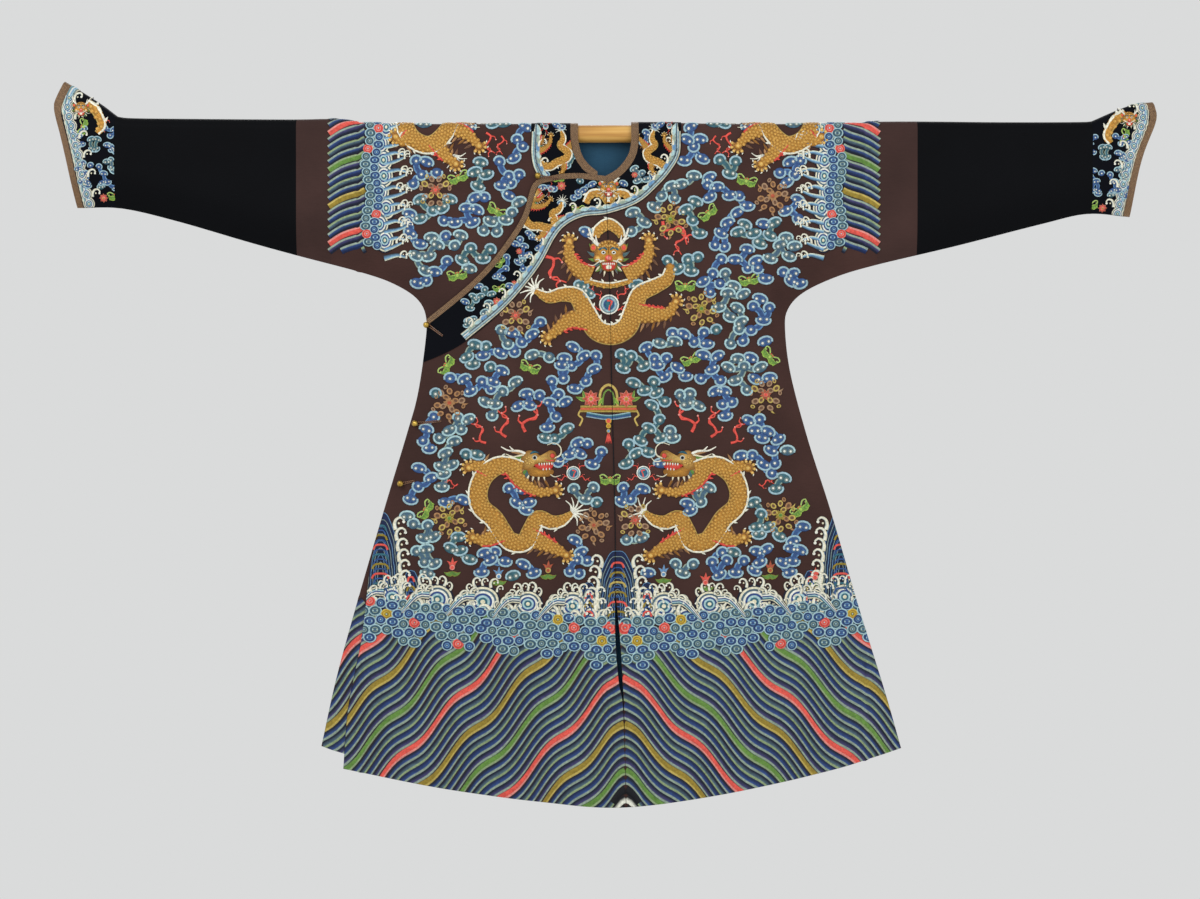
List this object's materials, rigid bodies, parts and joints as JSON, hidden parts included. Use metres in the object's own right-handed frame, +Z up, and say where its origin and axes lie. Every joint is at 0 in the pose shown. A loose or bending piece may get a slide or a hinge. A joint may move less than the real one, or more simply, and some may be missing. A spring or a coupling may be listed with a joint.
{
  "type": "chinese dragon robe on a hanging rod",
  "caption": "Long side-fastening Chinese dragon robe with horseshoe cuffs and a dark curved collar band, hanging flat with open sleeves, neck and hem on a round wooden rod.",
  "frame": {"origin": "middle of the hanging rod, on its axis", "axes": "+X along the rod to the viewer's right, which is the wearer's left; the front of the robe faces -Y; +Z up"},
  "size_m": [2.1996, 0.0625, 1.4494],
  "materials": {
    "brown_silk": "woven silk, reddish brown, embroidered",
    "brown_band": "plain woven silk, soft sheen",
    "black_silk": "plain ribbed black silk",
    "navy_silk": "navy black silk, embroidered",
    "gold_braid": "narrow woven binding with gold thread",
    "brass": "worn gilt brass",
    "brown_cord": "twisted silk cord",
    "pale_wood": "pale planed wood, lightly waxed"
  },
  "bodies": {
    "root": {"back_left": "brown_silk", "back_right": "brown_silk", "button_hip": "brass", "button_neck": "brass", "button_underarm": "brass", "button_waist": "brass", "collar_band_back": "navy_silk", "collar_band_left": "navy_silk", "collar_band_overlap": "navy_silk", "collar_band_right": "navy_silk", "cuff_binding_left_back": "gold_braid", "cuff_binding_left_front": "gold_braid", "cuff_binding_right_back": "gold_braid", "cuff_binding_right_front": "gold_braid", "cuff_left_back": "navy_silk", "cuff_left_front": "navy_silk", "cuff_right_back": "navy_silk", "cuff_right_front": "navy_silk", "front_main": "brown_silk", "loop_hip": "brown_cord", "loop_neck": "brown_cord", "loop_underarm": "brown_cord", "loop_waist": "brown_cord", "neck_binding_back": "gold_braid", "neck_binding_left": "gold_braid", "neck_binding_right": "gold_braid", "overlap": "brown_silk", "overlap_binding": "gold_braid", "rod": "pale_wood", "sleeve_band_left_back": "brown_band", "sleeve_band_left_front": "brown_band", "sleeve_band_right_back": "brown_band", "sleeve_band_right_front": "brown_band", "sleeve_extension_left_back": "black_silk", "sleeve_extension_left_front": "black_silk", "sleeve_extension_right_back": "black_silk", "sleeve_extension_right_front": "black_silk", "underlap": "brown_silk"}
  },
  "joints": []
}
